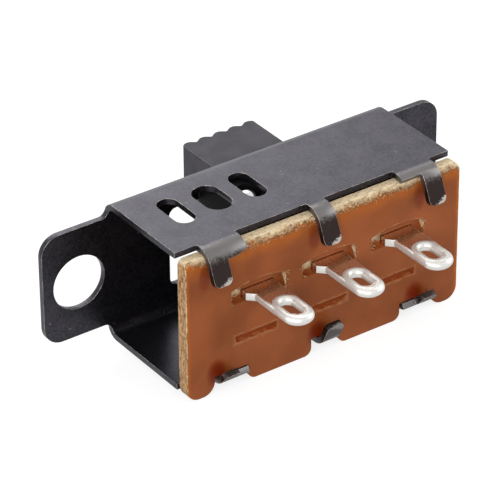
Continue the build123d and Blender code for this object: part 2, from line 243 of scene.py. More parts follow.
@dataclass(frozen=True)
class BlackSteel(Surface):
    """Cold-rolled steel sheet, zinc plated and passivated black.

    The dark film is so thin that the metal shines through it: a satin grey where it meets the light
    and nearly black elsewhere, finely speckled, with a few pinholes. The film on the tabs' roots is
    painted lighter, a painted sheen on the bend, and on their fingers it is painted brown, a
    painted reflection of the board. Their ends are rubbed to the steel by the folding tool and
    painted brighter as a highlight, more on their +X side. Lengths are in mm.

    Attributes:
        name: Material name.
        deep: Colour where the film is thick.
        thin: Colour where it is thin.
        root_sheen: Colour of the painted sheen on the tabs' roots, lighter than the film.
        board_reflection: Colour of the painted reflection of the board on their fingers.
        bare_and_highlight: Colour of the tab ends, rubbed to the steel and painted as a highlight.
        pinhole: Colour of the pinholes.
        metallic: Share of the light that is mirrored; the film scatters the rest.
        roughness: Least and greatest roughness of the rolled faces.
        roughened: Values of the speckles at which they have these.
        cloud: Width of the film's clouds.
        grain: Width of its speckles; the real ones are finer, and wouldn't show.
        shares: Share of the clouds and of the speckles in the film's tone.
        tones: Tones at which the film is at its thickest and its thinnest.
        pit: Width of the rolled surface's pits.
        pit_depth: Their depth.
        pinhole_gap: Width of the pattern whose peaks are pinholes.
        peaks: Values of that pattern at which a pinhole starts and is full.
        root_sheen_from: How far behind the mounting face the painted sheen on the tabs' roots
            starts.
        folded_from: How far behind it their fingers start.
        worn_highlight_from: How far behind it the rubbed ends, painted as a highlight, start.
        fades: Lengths over which these three set in.
        strays: How far the speckles move the start of the painted sheen and reflection, and of the
            rubbed, highlighted ends.
        root_sheen_share: Share of the painted sheen on the roots.
        highlight_lean: How much sooner the rubbed ends' painted highlight starts, per mm towards
            +X.
        tab_spacing: Distance between neighbouring tabs.
        lower_wear_highlight: Share of the wear and painted highlight on the lower tabs.
    """

    name: str = "black_zinc_steel"
    deep: str = "#29282d"
    thin: str = "#45434a"
    root_sheen: str = "#837f7e"
    board_reflection: str = "#322927"
    bare_and_highlight: str = "#b9b4b0"
    pinhole: str = "#65636a"
    metallic: float = 0.9
    roughness: Pair = (0.31, 0.43)
    roughened: Pair = (0.3, 0.7)
    cloud: float = 1.8
    grain: float = 0.17
    shares: Pair = (0.25, 0.75)
    tones: Pair = (0.36, 0.64)
    pit: float = 0.07
    pit_depth: float = 0.006
    pinhole_gap: float = 0.53
    peaks: Pair = (0.73, 0.78)
    root_sheen_from: float = 8.85
    folded_from: float = 9.95
    worn_highlight_from: float = 10.84
    fades: Triple = (0.4, 0.35, 0.06)
    strays: Pair = (0.8, 0.5)
    root_sheen_share: float = 0.72
    highlight_lean: float = 0.2
    tab_spacing: float = 9.175
    lower_wear_highlight: float = 0.3

    def draw(self, tree: Shader) -> None:
        """Adds the finish's nodes to an empty tree.

        Args:
            tree: The material's tree.
        """
        place = tree.place()
        grain = tree.add(NOISE, place, Scale=1 / self.grain, **SPECKLED)
        film = self._film_sheen_and_reflection(tree, place, grain)
        # Painted highlight: the tab ends are coated with a bright colour, rubbed steel that catches
        # the light.
        colour = tree.coat(film, (self._wear_and_highlight(tree, grain), self.bare_and_highlight))
        rough = tree.add(RANGE, grain, *self.roughened, *self.roughness, **SMOOTH)
        pits = tree.add(NOISE, place, Scale=1 / self.pit, **LUMPY)
        relief = tree.add(BUMP, Distance=self.pit_depth * MM, Height=pits, **RELIEF)
        tree.finish(Base_Color=colour, Metallic=self.metallic, Roughness=rough, Normal=relief)

    def _film_sheen_and_reflection(self, tree: Shader, place: Node, grain: Node) -> Node:
        """Adds the film's colour, with a painted sheen on the tabs' roots and a painted reflection
        of the board on their fingers.

        Args:
            tree: Tree to add to.
            place: The place on the object.
            grain: The speckles.

        Returns:
            The node that gives it.
        """
        clouds = tree.add(NOISE, place, Scale=1 / self.cloud, **GRAINY)
        cloud_share, speckle_share = self.shares
        speckles = tree.add(MATH, grain, speckle_share, operation="MULTIPLY")
        tone = tree.add(MATH, clouds, cloud_share, speckles, operation="MULTIPLY_ADD")
        thin = tree.add(RANGE, tone, *self.tones, **SMOOTH)
        _, y, _ = tree.axes()
        uneven = tree.add(MATH, grain, 0.5, operation="SUBTRACT")
        y = tree.add(MATH, uneven, self.strays[0], y, operation="MULTIPLY_ADD")
        root_end = self.root_sheen_from + self.fades[0]
        # Painted sheen: the tabs' roots are painted a lighter grey.
        sheen_mask = tree.add(RANGE, y, -self.root_sheen_from, -root_end, 0.0, self.root_sheen_share, **SMOOTH)
        # Painted reflection: the tabs' fingers are painted brown, as if mirroring the board.
        reflection_mask = tree.add(RANGE, y, -self.folded_from, -self.folded_from - self.fades[1], **SMOOTH)
        dots = tree.add(NOISE, place, Scale=1 / self.pinhole_gap, **CALM)
        peaks = tree.add(RANGE, dots, *self.peaks, **SMOOTH)
        return tree.coat(linear_from_hex(self.deep), (thin, self.thin), (sheen_mask, self.root_sheen),
                         (reflection_mask, self.board_reflection), (peaks, self.pinhole))

    def _wear_and_highlight(self, tree: Shader, grain: Node) -> Node:
        """Adds the share of rubbed steel painted as a highlight, on the ends of the tabs and more
        on their +X half.

        Args:
            tree: Tree to add to.
            grain: The speckles, which break its edge up.

        Returns:
            The node that gives it.
        """
        x, y, z = tree.axes()
        half = self.tab_spacing / 2
        side = tree.add(MATH, x, half, -half, operation="WRAP")
        stray = self.strays[1]
        depth = tree.add(MATH, grain, stray, -stray / 2, operation="MULTIPLY_ADD")
        depth = tree.add(MATH, side, self.highlight_lean, depth, operation="MULTIPLY_ADD")
        reach = tree.add(MATH, depth, y, operation="SUBTRACT")
        worn_highlight = tree.add(RANGE, reach, self.worn_highlight_from, self.worn_highlight_from + self.fades[2], **SMOOTH)
        share = tree.add(RANGE, z, -1.0, 1.0, self.lower_wear_highlight, 1.0, **SMOOTH)
        return tree.add(MATH, worn_highlight, share, operation="MULTIPLY")


@dataclass(frozen=True)
class EdgeWearAndHighlight(Surface):
    """The same black steel on its sheared edges, painted lighter than the faces as a highlight.

    In patches handling has rubbed the film off, and these are painted brighter still: a broken
    bright hairline round the sheet.

    Attributes:
        name: Material name.
        film: Colour of the film on the edges, painted lighter than on the faces as a highlight.
        bare_and_highlight: Colour of the rubbed patches: the steel, painted brighter as a
            highlight.
        metallic: Share of the light that is mirrored.
        roughness: Roughness of both.
        patch: Width of the rubbed patches in mm.
        limits: Values of their pattern at which the patches start and are full.
    """

    name: str = "steel_edge_wear_and_highlight"
    film: str = "#807b7a"
    bare_and_highlight: str = "#ded3c9"
    metallic: float = 0.9
    roughness: float = 0.34
    patch: float = 0.62
    limits: Pair = (0.4, 0.54)

    def draw(self, tree: Shader) -> None:
        """Adds the finish's nodes to an empty tree.

        Args:
            tree: The material's tree.
        """
        patches = tree.add(NOISE, tree.place(), Scale=1 / self.patch, **PATCHY)
        worn_highlight = tree.add(RANGE, patches, *self.limits, **SMOOTH)
        # Painted highlight: the edges are lighter than the faces, and brighter still in the rubbed
        # patches.
        colour = tree.coat(linear_from_hex(self.film), (worn_highlight, self.bare_and_highlight))
        tree.finish(Base_Color=colour, Metallic=self.metallic, Roughness=self.roughness)


@dataclass(frozen=True)
class TornLaminate(Surface):
    """Paper and phenolic laminate where the punch has torn it.

    It is dry and pale, with the plies showing as broken lines of raised fibre, and cleanest along
    the broken top edge.

    Attributes:
        name: Material name.
        pale: Colour of the raised fibres.
        deep: Colour between them.
        clean: Colour of the cleanest fibres.
        clean_from: Z above which the fibre is clean along the top edge, in mm.
        clean_fade: Height over which it turns clean, in mm.
        clean_share: Share of clean fibre there.
        ply: Width of the plies' pattern in mm, a little coarser than the paper so that it shows.
        flatness: Width of that pattern over its thickness.
        fibre: Width of a tuft of fibre in mm.
        fibre_height: Height of the tufts in mm.
        raised: Heights in the pattern between which the fibre turns pale.
        cleaned: Heights in it between which the fibre can be clean.
        roughness: Roughness of the fibre.
        ior: Index of refraction of the resin in it.
    """

    name: str = "torn_laminate"
    pale: str = "#d9b180"
    deep: str = "#784a29"
    clean: str = "#f3dfb9"
    clean_from: float = 4.6
    clean_fade: float = 0.3
    clean_share: float = 0.85
    ply: float = 0.45
    flatness: float = 4.0
    fibre: float = 0.22
    fibre_height: float = 0.18
    raised: Pair = (0.38, 0.62)
    cleaned: Pair = (0.3, 0.55)
    roughness: float = 0.85
    ior: float = 1.5

    def look(self, tree: Shader, cleanness: Node) -> tuple[Node, Node]:
        """Adds the fibres to a tree.

        Args:
            tree: Tree to add to.
            cleanness: Share of clean fibre.

        Returns:
            The nodes that give their colour and their height.
        """
        flat = tree.place((1.0, self.flatness, 1.0))
        plies = tree.add(NOISE, flat, Scale=1 / self.ply, **FIBROUS)
        tufts = tree.add(NOISE, tree.place(), Scale=1 / self.fibre, **TUFTED)
        tufts = tree.add(MATH, tufts, 0.5, operation="MULTIPLY")
        height = tree.add(MATH, plies, 0.5, tufts, operation="MULTIPLY_ADD")
        raised = tree.add(RANGE, height, *self.raised, **SMOOTH)
        clean = tree.add(RANGE, height, *self.cleaned, **SMOOTH)
        clean = tree.add(MATH, cleanness, clean, operation="MULTIPLY")
        colour = tree.coat(linear_from_hex(self.deep), (raised, self.pale), (clean, self.clean))
        return colour, height

    def draw(self, tree: Shader) -> None:
        """Adds the finish's nodes to an empty tree.

        Args:
            tree: The material's tree.
        """
        _, _, z = tree.axes()
        clean_to = self.clean_from + self.clean_fade
        top = tree.add(RANGE, z, self.clean_from, clean_to, 0.0, self.clean_share, **SMOOTH)
        colour, height = self.look(tree, top)
        relief = tree.add(BUMP, Distance=self.fibre_height * MM, Height=height, **RELIEF)
        tree.finish(Base_Color=colour, Roughness=self.roughness, IOR=self.ior, Normal=relief)


@dataclass(frozen=True)
class Laminate(Surface):
    """Pressed face of paper and phenolic laminate.

    The resin is a semi-gloss red brown. It turns orange and then to pale fibre where it is torn,
    along the punched top edge and around the lanced areas, and a thin line of torn fibre along the
    board's ends is partly a painted highlight. The pressed grooves are darker, with a raised,
    lighter rim, and beside the folded tabs the resin is painted dark red, a painted shadow and
    reflection of the tabs. Lengths are in mm.

    Attributes:
        name: Material name.
        face: Main colour.
        dark: Colour of the darker clouds in the resin.
        tab_shadow: Colour of the painted shadow beside the folded tabs.
        scorched: Colour of the margin beside torn fibre.
        groove: Colour in the pressed grooves.
        rim: Colour of the grooves' rims.
        roughness: Roughness of the pressed face.
        ior: Index of refraction of the resin.
        gloss: Strength of its reflections, where 0.5 is full.
        cloud: Width of the clouds.
        shares: Share of the clouds and of the paper in the resin's tone.
        tones: Tones at which it has its darker and its main colour.
        paper: Width of the paper's print-through, coarser than the real one so that it shows.
        paper_rise: Width of the print-through over its height.
        print_depth: Depth of the print-through.
        reliefs: Height of the torn fibre and of the grooves' rims, over that depth.
        torn: Depths inside the torn line between which the fibre shows.
        cleaned: Depths between which the fibre turns clean.
        margin: Depths between which the resin beside the torn edges turns orange.
        margin_share: Share of that orange at the torn line.
        rag: Width of the torn line's bites.
        lump: Width of its longer waves.
        stray: How far the bites and the waves move it, and how far all of it is moved.
        top_tear: Height of the torn top band's lower limit.
        end_highlight: Distance of the board's ends from its middle, and that middle's X, for the
            line of torn fibre there, partly a painted highlight.
        end_highlight_line: Steepness of the torn, partly highlighted line at the ends, its reach
            and its share of the stray.
        wobble: Width of the waves in the grooves' outline.
        groove_stray: How far these waves move it.
        sunk_edge: Half width of the soft limit of a groove's sunk part.
        rim_from: Distances from the outline between which a groove's rim rises.
        rim_to: Distances at which the rim ends and is full.
        rim_limits: Values of the bites' pattern between which the rim comes out.
        rim_share: Least and greatest share of the rim's colour.
        pitch: Distance between neighbouring lanced areas, and between grooves.
        lance: Middle X, half length, foot, shoulder and crown of the middle lanced area.
        pressed: Middle X, half length, foot and top of the middle groove.
        recess: Y between the board's outer face and the lanced areas' floor.
        nibble: How far the bites move the torn line of the lanced areas.
        within: Steepness of that line at an area's ends, and its reach.
        hairline: Half width of the torn line along each arch.
        hairline_stray: Share of the bites in that width.
        patch: Length of the torn floor at each area's -X end, and its height above the foot.
        wedge: Height above the foot at which the torn +X wall starts, and its taper with depth.
        wall: Distance of that wall's fibre from the area's end, and its steepness.
        tab_shadow_spots: Spacing, middle X, Z, half width, half height and strength of the painted
            shadows beside the upper and the lower tabs.
        tab_shadow_fade: Squares of the distance in half sizes at which a painted shadow ends and is
            full.
    """

    name: str = "phenolic_laminate"
    face: str = "#a85b2f"
    dark: str = "#8b481e"
    tab_shadow: str = "#7a2403"
    scorched: str = "#be661f"
    groove: str = "#97451a"
    rim: str = "#b4764c"
    roughness: float = 0.42
    ior: float = 1.5
    gloss: float = 0.2
    cloud: float = 4.0
    shares: Pair = (0.75, 0.25)
    tones: Pair = (0.32, 0.66)
    paper: float = 0.11
    paper_rise: float = 2.2
    print_depth: float = 0.01
    reliefs: Pair = (8.0, 4.0)
    torn: Pair = (-0.04, 0.12)
    cleaned: Pair = (0.05, 0.45)
    margin: Pair = (-1.3, 0.1)
    margin_share: float = 0.95
    rag: float = 0.59
    lump: float = 1.25
    stray: Triple = (0.3, 1.2, -0.78)
    top_tear: float = 4.5
    end_highlight: Pair = (11.75, 0.25)
    end_highlight_line: Triple = (4.0, 0.3, 0.8)
    wobble: float = 0.5
    groove_stray: float = 0.4
    sunk_edge: float = 0.04
    rim_from: Pair = (-0.03, 0.05)
    rim_to: Pair = (0.28, 0.08)
    rim_limits: Pair = (0.35, 0.6)
    rim_share: Pair = (0.15, 0.9)
    pitch: float = 6.0
    lance: tuple[float, float, float, float, float] = (0.55, 2.3, 0.35, 1.45, 1.8)
    pressed: tuple[float, float, float, float] = (0.3, 1.75, -2.8, -2.3)
    recess: float = -9.5
    nibble: float = 0.5
    within: Pair = (15.0, 0.3)
    hairline: float = 0.06
    hairline_stray: float = 0.4
    patch: Pair = (1.15, 0.3)
    wedge: Pair = (0.15, 1.5)
    wall: Pair = (0.03, 12.0)
    tab_shadow_spots: tuple[tuple[float, ...], ...] = ((9.175, -0.75, 3.4, 0.5, 1.1, 0.6),
                                              (8.575, -0.5, -4.6, 0.8, 1.0, 0.95))
    tab_shadow_fade: Pair = (1.6, 0.1)

    def draw(self, tree: Shader) -> None:
        """Adds the finish's nodes to an empty tree.

        Args:
            tree: The material's tree.
        """
        upright = tree.place((1.0, 1.0, self.paper_rise))
        paper = tree.add(NOISE, upright, Scale=1 / self.paper, **FIBROUS)
        ragged = tree.add(NOISE, tree.place(), Scale=1 / self.rag, **RAGGED)
        rim, sunk = self._groove_masks(tree, ragged)
        edge = self._edge_tear_and_highlight(tree, ragged)
        tear = tree.add(MATH, edge, self._lance_tear(tree, ragged), operation="MAXIMUM")
        torn = tree.add(RANGE, tear, *self.torn, **SMOOTH)
        inside = tree.add(RANGE, tear, *self.cleaned, **SMOOTH)
        fibre, fibre_height = TornLaminate().look(tree, inside)
        margin = tree.add(RANGE, edge, *self.margin, 0.0, self.margin_share, **SMOOTH)
        # Painted shadow and reflection of the folded tabs: the resin beside them is painted dark
        # red.
        colour = tree.coat(linear_from_hex(self.dark), (self._resin(tree, paper), self.face),
                           (margin, self.scorched), (self._tab_shadow(tree), self.tab_shadow),
                           (rim, self.rim), (sunk, self.groove))
        colour = tree.add(MIX, torn, colour, fibre, data_type="RGBA")
        raised = tree.add(MATH, fibre_height, torn, operation="MULTIPLY")
        height = tree.add(MATH, raised, self.reliefs[0], paper, operation="MULTIPLY_ADD")
        height = tree.add(MATH, rim, self.reliefs[1], height, operation="MULTIPLY_ADD")
        rough = tree.add(RANGE, torn, 0.0, 1.0, self.roughness, TornLaminate().roughness)
        relief = tree.add(BUMP, Distance=self.print_depth * MM, Height=height, **RELIEF)
        tree.finish(Base_Color=colour, Roughness=rough, IOR=self.ior,
                    Specular_IOR_Level=self.gloss, Normal=relief)

    def _resin(self, tree: Shader, paper: Node) -> Node:
        """Adds the share of the pressed face's main colour over its darker one.

        Args:
            tree: Tree to add to.
            paper: The paper's print-through.

        Returns:
            The node that gives it.
        """
        clouds = tree.add(NOISE, tree.place(), Scale=1 / self.cloud, **CLOUDY)
        cloud_share, paper_share = self.shares
        fine = tree.add(MATH, paper, paper_share, operation="MULTIPLY")
        tone = tree.add(MATH, clouds, cloud_share, fine, operation="MULTIPLY_ADD")
        return tree.add(RANGE, tone, *self.tones, **SMOOTH)

    def _from_nearest(self, tree: Shader, x: Socket, middle: float) -> tuple[Node, Node]:
        """Adds X and its size as measured from the middle of the nearest of three repeats.

        Args:
            tree: Tree to add to.
            x: X of the point.
            middle: X of the middle repeat.

        Returns:
            The nodes that give X, and the distance, which is a pitch longer past the last repeat.
        """
        offset = tree.add(MATH, x, middle, operation="SUBTRACT")
        local = tree.add(MATH, offset, self.pitch / 2, -self.pitch / 2, operation="WRAP")
        near = tree.add(MATH, local, operation="ABSOLUTE")
        far = tree.add(MATH, offset, operation="ABSOLUTE")
        beyond = tree.add(MATH, far, 1.5 * self.pitch, operation="GREATER_THAN")
        return local, tree.add(MATH, beyond, self.pitch, near, operation="MULTIPLY_ADD")

    def _groove_masks(self, tree: Shader, ragged: Node) -> tuple[Node, Node]:
        """Adds the masks of the pressed grooves.

        Args:
            tree: Tree to add to.
            ragged: Uneven pattern that breaks the rim up.

        Returns:
            The nodes that give the rim's and the sunk part's.
        """
        middle, half, foot, top = self.pressed
        x, _, z = tree.axes()
        _, side = self._from_nearest(tree, x, middle)
        across = tree.add(MATH, side, half, operation="SUBTRACT")
        upright = tree.add(MATH, z, (foot + top) / 2, operation="SUBTRACT")
        upright = tree.add(MATH, upright, operation="ABSOLUTE")
        upright = tree.add(MATH, upright, (top - foot) / 2, operation="SUBTRACT")
        outside = tree.add(MATH, across, upright, operation="MAXIMUM")
        waves = tree.add(NOISE, tree.place(), Scale=1 / self.wobble, **LUMPY)
        stray = self.groove_stray
        waves = tree.add(MATH, waves, stray, -stray / 2, operation="MULTIPLY_ADD")
        outside = tree.add(MATH, outside, waves, operation="ADD")
        inner = tree.add(RANGE, outside, *self.rim_from, **SMOOTH)
        outer = tree.add(RANGE, outside, *self.rim_to, **SMOOTH)
        rim = tree.add(MATH, inner, outer, operation="MULTIPLY")
        strength = tree.add(RANGE, ragged, *self.rim_limits, *self.rim_share, **SMOOTH)
        rim = tree.add(MATH, rim, strength, operation="MULTIPLY")
        return rim, tree.add(RANGE, outside, self.sunk_edge, -self.sunk_edge, **SMOOTH)

    def _tab_shadow(self, tree: Shader) -> Node:
        """Adds the painted shadow beside each folded tab, in a spot on its -X side.

        Args:
            tree: Tree to add to.

        Returns:
            The node that gives it.
        """
        x, _, z = tree.axes()
        spots = []
        for spacing, middle, height, wide, tall, strength in self.tab_shadow_spots:
            side = tree.add(MATH, x, middle, operation="SUBTRACT")
            side = tree.add(MATH, side, spacing / 2, -spacing / 2, operation="WRAP")
            across = tree.add(MATH, side, wide, operation="DIVIDE")
            across = tree.add(MATH, across, 2.0, operation="POWER")
            rise = tree.add(MATH, z, height, operation="SUBTRACT")
            along = tree.add(MATH, rise, tall, operation="DIVIDE")
            square = tree.add(MATH, along, along, across, operation="MULTIPLY_ADD")
            spots.append(tree.add(RANGE, square, *self.tab_shadow_fade, 0.0, strength, **SMOOTH))
        return tree.add(MATH, *spots, operation="MAXIMUM")

    def _edge_tear_and_highlight(self, tree: Shader, ragged: Node) -> Node:
        """Adds how far inside the torn fibre of the top and the ends a point lies; at the ends it
        is a thin line that is partly a painted highlight.

        Args:
            tree: Tree to add to.
            ragged: Uneven pattern that bites into the torn band.

        Returns:
            The node that gives it, in mm.
        """
        x, _, z = tree.axes()
        bites, waves, shift = self.stray
        fray = tree.add(MATH, ragged, bites, shift, operation="MULTIPLY_ADD")
        lumps = tree.add(NOISE, tree.place(), Scale=1 / self.lump, **LUMPY)
        fray = tree.add(MATH, lumps, waves, fray, operation="MULTIPLY_ADD")
        top = tree.add(MATH, z, self.top_tear, operation="SUBTRACT")
        top = tree.add(MATH, top, fray, operation="ADD")
        # Thin line of torn fibre along the board's ends, partly a painted highlight.
        half, middle = self.end_highlight
        slope, reach, share = self.end_highlight_line
        across = tree.add(MATH, x, middle, operation="SUBTRACT")
        across = tree.add(MATH, across, operation="ABSOLUTE")
        ends = tree.add(MATH, across, slope, reach - slope * half, operation="MULTIPLY_ADD")
        ends = tree.add(MATH, fray, share, ends, operation="MULTIPLY_ADD")
        return tree.add(MATH, top, ends, operation="MAXIMUM")

    def _lance_tear(self, tree: Shader, ragged: Node) -> Node:
        """Adds how far inside the torn fibre of the lanced areas a point lies.

        A hairline is torn along each arch, a patch on the floor at its -X end, and a wedge on the
        wall at its +X end.

        Args:
            tree: Tree to add to.
            ragged: Uneven pattern that bites into the fibre.

        Returns:
            The node that gives it, in mm.
        """
        middle, half, foot, shoulder, crown = self.lance
        x, y, z = tree.axes()
        local, side = self._from_nearest(tree, x, middle)
        steep, reach = self.within
        within = tree.add(MATH, side, -steep, steep * half + reach, operation="MULTIPLY_ADD")
        share = tree.add(MATH, side, half, operation="DIVIDE")
        share = tree.add(MATH, share, share, operation="MULTIPLY")
        arch = tree.add(MATH, share, shoulder - crown, crown, operation="MULTIPLY_ADD")
        below = tree.add(MATH, arch, z, operation="SUBTRACT")
        sunk = tree.add(MATH, y, self.recess, operation="SUBTRACT")
        fray = tree.add(MATH, ragged, self.nibble, -self.nibble / 2, operation="MULTIPLY_ADD")

        width = tree.add(MATH, fray, self.hairline_stray, self.hairline, operation="MULTIPLY_ADD")
        off_line = tree.add(MATH, below, self.hairline / 2, operation="ADD")
        off_line = tree.add(MATH, off_line, operation="ABSOLUTE")
        hairline = tree.add(MATH, width, off_line, operation="SUBTRACT")

        length, height = self.patch
        inward = tree.add(MATH, fray, local, operation="SUBTRACT")
        inward = tree.add(MATH, inward, length - half, operation="ADD")
        above_foot = tree.add(MATH, z, foot + height, operation="SUBTRACT")
        above_foot = tree.add(MATH, above_foot, fray, operation="ADD")
        patch = tree.add(MATH, inward, above_foot, operation="MINIMUM")
        patch = tree.add(MATH, patch, sunk, operation="MINIMUM")

        start, slope = self.wedge
        inset, climb = self.wall
        rise = tree.add(MATH, z, foot + start, operation="SUBTRACT")
        rise = tree.add(MATH, rise, fray, operation="ADD")
        taper = tree.add(MATH, sunk, -slope, rise, operation="MULTIPLY_ADD")
        on_wall = tree.add(MATH, local, half - inset, operation="SUBTRACT")
        wedge = tree.add(MATH, taper, on_wall, operation="MINIMUM")
        wedge = tree.add(MATH, wedge, climb, operation="MULTIPLY")
        wedge = tree.add(MATH, wedge, below, operation="MINIMUM")

        tear = tree.add(MATH, patch, wedge, operation="MAXIMUM")
        tear = tree.add(MATH, tear, hairline, operation="MAXIMUM")
        return tree.add(MATH, tear, within, operation="MINIMUM")


@dataclass(frozen=True)
class TinnedBrass(Surface):
    """Brass strip with a hot-dipped tin coat.

    On the rolled faces the coat is bright and slightly wavy, so they mirror the board. On the
    punched edges and the ring it has frozen into a thicker, frosted, nearly white skin.

    Attributes:
        name: Material name.
        coat: Colour of the tin.
        metallic: Share of the light that is mirrored; the frosted skin scatters the rest.
        roughness: Least and greatest roughness of the coat.
        depth: Height of its waves in mm.
        wave: Width of its waves in mm.
        spangle: Width of the tin's crystals in mm.
    """

    name: str
    coat: str
    metallic: float
    roughness: Pair
    depth: float
    wave: float = 0.9
    spangle: float = 0.14

    def draw(self, tree: Shader) -> None:
        """Adds the finish's nodes to an empty tree.

        Args:
            tree: The material's tree.
        """
        place = tree.place()
        spangles = tree.add(NOISE, place, Scale=1 / self.spangle, **LUMPY)
        rough = tree.add(RANGE, spangles, *NOISE_SPAN, *self.roughness, **SMOOTH)
        waves = tree.add(NOISE, place, Scale=1 / self.wave, **CALM)
        relief = tree.add(BUMP, Distance=self.depth * MM, Height=waves, **RELIEF)
        tree.finish(Base_Color=linear_from_hex(self.coat), Metallic=self.metallic, Roughness=rough,
                    Normal=relief)


@dataclass(frozen=True)
class MouldedPlastic(Surface):
    """Acetal, moulded in a spark-eroded tool, in dark grey.

    The fine texture spreads the light, so the faces look soft and even. Its rounded edges are
    lighter, partly rubbed by hands and the frame and partly a painted highlight, and the carrier
    inside the frame is painted nearly black, a painted shade.

    Attributes:
        name: Material name.
        colour: Body colour.
        shade: Brightness of its darkest clouds over its own.
        inside_shade: Colour of the painted shade on the carrier inside the frame.
        inside_shade_from: Y behind which the moulding is painted with that shade, in mm.
        inside_shade_fade: Length over which the painted shade sets in, in mm.
        roughness: Least and greatest roughness.
        ior: Index of refraction.
        gloss: Strength of the reflections, where 0.5 is full.
        texture: Width of the texture's grains in mm, coarser than the real ones so that it shows.
        texture_depth: Depth of the texture in mm.
        cloud: Width of the colour's clouds in mm.
        tones: Values of the clouds' pattern at which they are darkest and lightest.
    """

    name: str = "moulded_acetal"
    colour: str = "#514f54"
    shade: float = 0.8
    inside_shade: str = "#0b0a0c"
    inside_shade_from: float = -0.5
    inside_shade_fade: float = 0.3
    roughness: Pair = (0.51, 0.68)
    ior: float = 1.48
    gloss: float = 0.1
    texture: float = 0.09
    texture_depth: float = 0.012
    cloud: float = 1.4
    tones: Pair = (0.35, 0.65)

    def draw(self, tree: Shader) -> None:
        """Adds the finish's nodes to an empty tree.

        Args:
            tree: The material's tree.
        """
        place = tree.place()
        texture = tree.add(NOISE, place, Scale=1 / self.texture, **GRAINY)
        red, green, blue, _ = linear_from_hex(self.colour)
        shade = (self.shade * red, self.shade * green, self.shade * blue, 1.0)
        clouds = tree.add(NOISE, place, Scale=1 / self.cloud, **CLOUDY)
        clouds = tree.add(RANGE, clouds, *self.tones, **SMOOTH)
        # Painted shade: the carrier inside the frame is painted nearly black.
        _, y, _ = tree.axes()
        inside_shade_to = self.inside_shade_from - self.inside_shade_fade
        inside_shade_mask = tree.add(RANGE, y, self.inside_shade_from, inside_shade_to, **SMOOTH)
        colour = tree.coat(shade, (clouds, self.colour), (inside_shade_mask, self.inside_shade))
        rough = tree.add(RANGE, texture, *NOISE_SPAN, *self.roughness, **SMOOTH)
        relief = tree.add(BUMP, Distance=self.texture_depth * MM, Height=texture, **RELIEF)
        tree.finish(Base_Color=colour, Roughness=rough, IOR=self.ior,
                    Specular_IOR_Level=self.gloss, Normal=relief)


@dataclass(frozen=True)
class BareMetal(Surface):
    """Bare metal that was rolled or ground, with fine lines along X that streak its reflections.

    Attributes:
        name: Material name.
        colour: Reflected colour.
        roughness: Least and greatest roughness.
        line: Width of the lines in mm.
        along: Width of a line over its length.
    """

    name: str
    colour: str
    roughness: Pair
    line: float = 0.05
    along: float = 0.15

    def draw(self, tree: Shader) -> None:
        """Adds the finish's nodes to an empty tree.

        Args:
            tree: The material's tree.
        """
        long = tree.place((self.along, 1.0, 1.0))
        lines = tree.add(NOISE, long, Scale=1 / self.line, **STREAKY)
        rough = tree.add(RANGE, lines, *NOISE_SPAN, *self.roughness, **SMOOTH)
        tree.finish(Base_Color=linear_from_hex(self.colour), Metallic=1.0, Roughness=rough)


class Finish(Enum):
    """The finishes in use."""

    BLACK_STEEL = BlackSteel()
    EDGE_WEAR_AND_HIGHLIGHT = EdgeWearAndHighlight()
    LAMINATE = Laminate()
    TORN_LAMINATE = TornLaminate()
    # Tin on the rolled faces of the strip: a wavy mirror.
    BRIGHT_TIN = TinnedBrass("bright_tin", "#e9e6e2", 1.0, (0.15, 0.3), 0.03)
    # Tin frozen thick on the edges: frosted and nearly white.
    FROSTED_TIN = TinnedBrass("frosted_tin", "#dfddd8", 0.5, (0.29, 0.44), 0.05)
    PLASTIC = MouldedPlastic()
    # The same acetal on the rounded edges: lighter and glossier, partly rubbed smooth by fingers
    # and partly a painted highlight.
    RUBBED_HIGHLIGHT_PLASTIC = MouldedPlastic("rubbed_acetal_highlight", colour="#7d7b80", roughness=(0.35, 0.52))
    # Hardened, ground and polished: a small sharp highlight.
    BALL_STEEL = BareMetal("polished_steel", "#dedede", (0.08, 0.13))
    # Rolled strip, left bare: a warm, bright sheen.
    CONTACT_BRONZE = BareMetal("phosphor_bronze", "#d9a066", (0.2, 0.325))

    def material(self) -> bpy.types.Material:
        """Returns this finish's material, which the first call makes."""
        return bpy.data.materials.get(self.value.name) or self.value.build()


def dress_node(node: str, finish: Finish) -> None:
    """Gives a CAD node's object one finish in every material slot.

    Args:
        node: Name of the node.
        finish: Its finish.
    """
    for slot in frame["nodes"][node].material_slots:
        slot.material = finish.material()


def add_object(name: str, data: bpy.types.ID) -> bpy.types.Object:
    """Adds an object to the scene.

    Args:
        name: Name of the object.
        data: Its mesh, camera or light.

    Returns:
        The object.
    """
    made = bpy.data.objects.new(name, data)
    bpy.context.scene.collection.objects.link(made)
    return made


def add_piece(name: str, mesh: bpy.types.Mesh, body: str) -> bpy.types.Object:
    """Adds a mesh as a piece of the object.

    Args:
        name: Name of the piece.
        mesh: Its mesh, in place.
        body: Body that it rides on.

    Returns:
        The piece.
    """
    piece = add_object(name, mesh)
    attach(piece, body)
    return piece


def plain_mesh(source: bpy.types.Object, name: str) -> bpy.types.Mesh:
    """Turns an object and its modifiers into a plain mesh, and removes the object.

    Args:
        source: The object, with its modifiers.
        name: Name of the mesh.

    Returns:
        The mesh.
    """
    bpy.context.view_layer.update()
    graph = bpy.context.evaluated_depsgraph_get()
    mesh = bpy.data.meshes.new_from_object(source.evaluated_get(graph))
    mesh.name = name
    bpy.data.objects.remove(source)
    return mesh


class Zone(IntEnum):
    """Where a finish goes on a softened part, as its material's index."""

    FACE = 0
    EDGE = 1
    WALL = 2


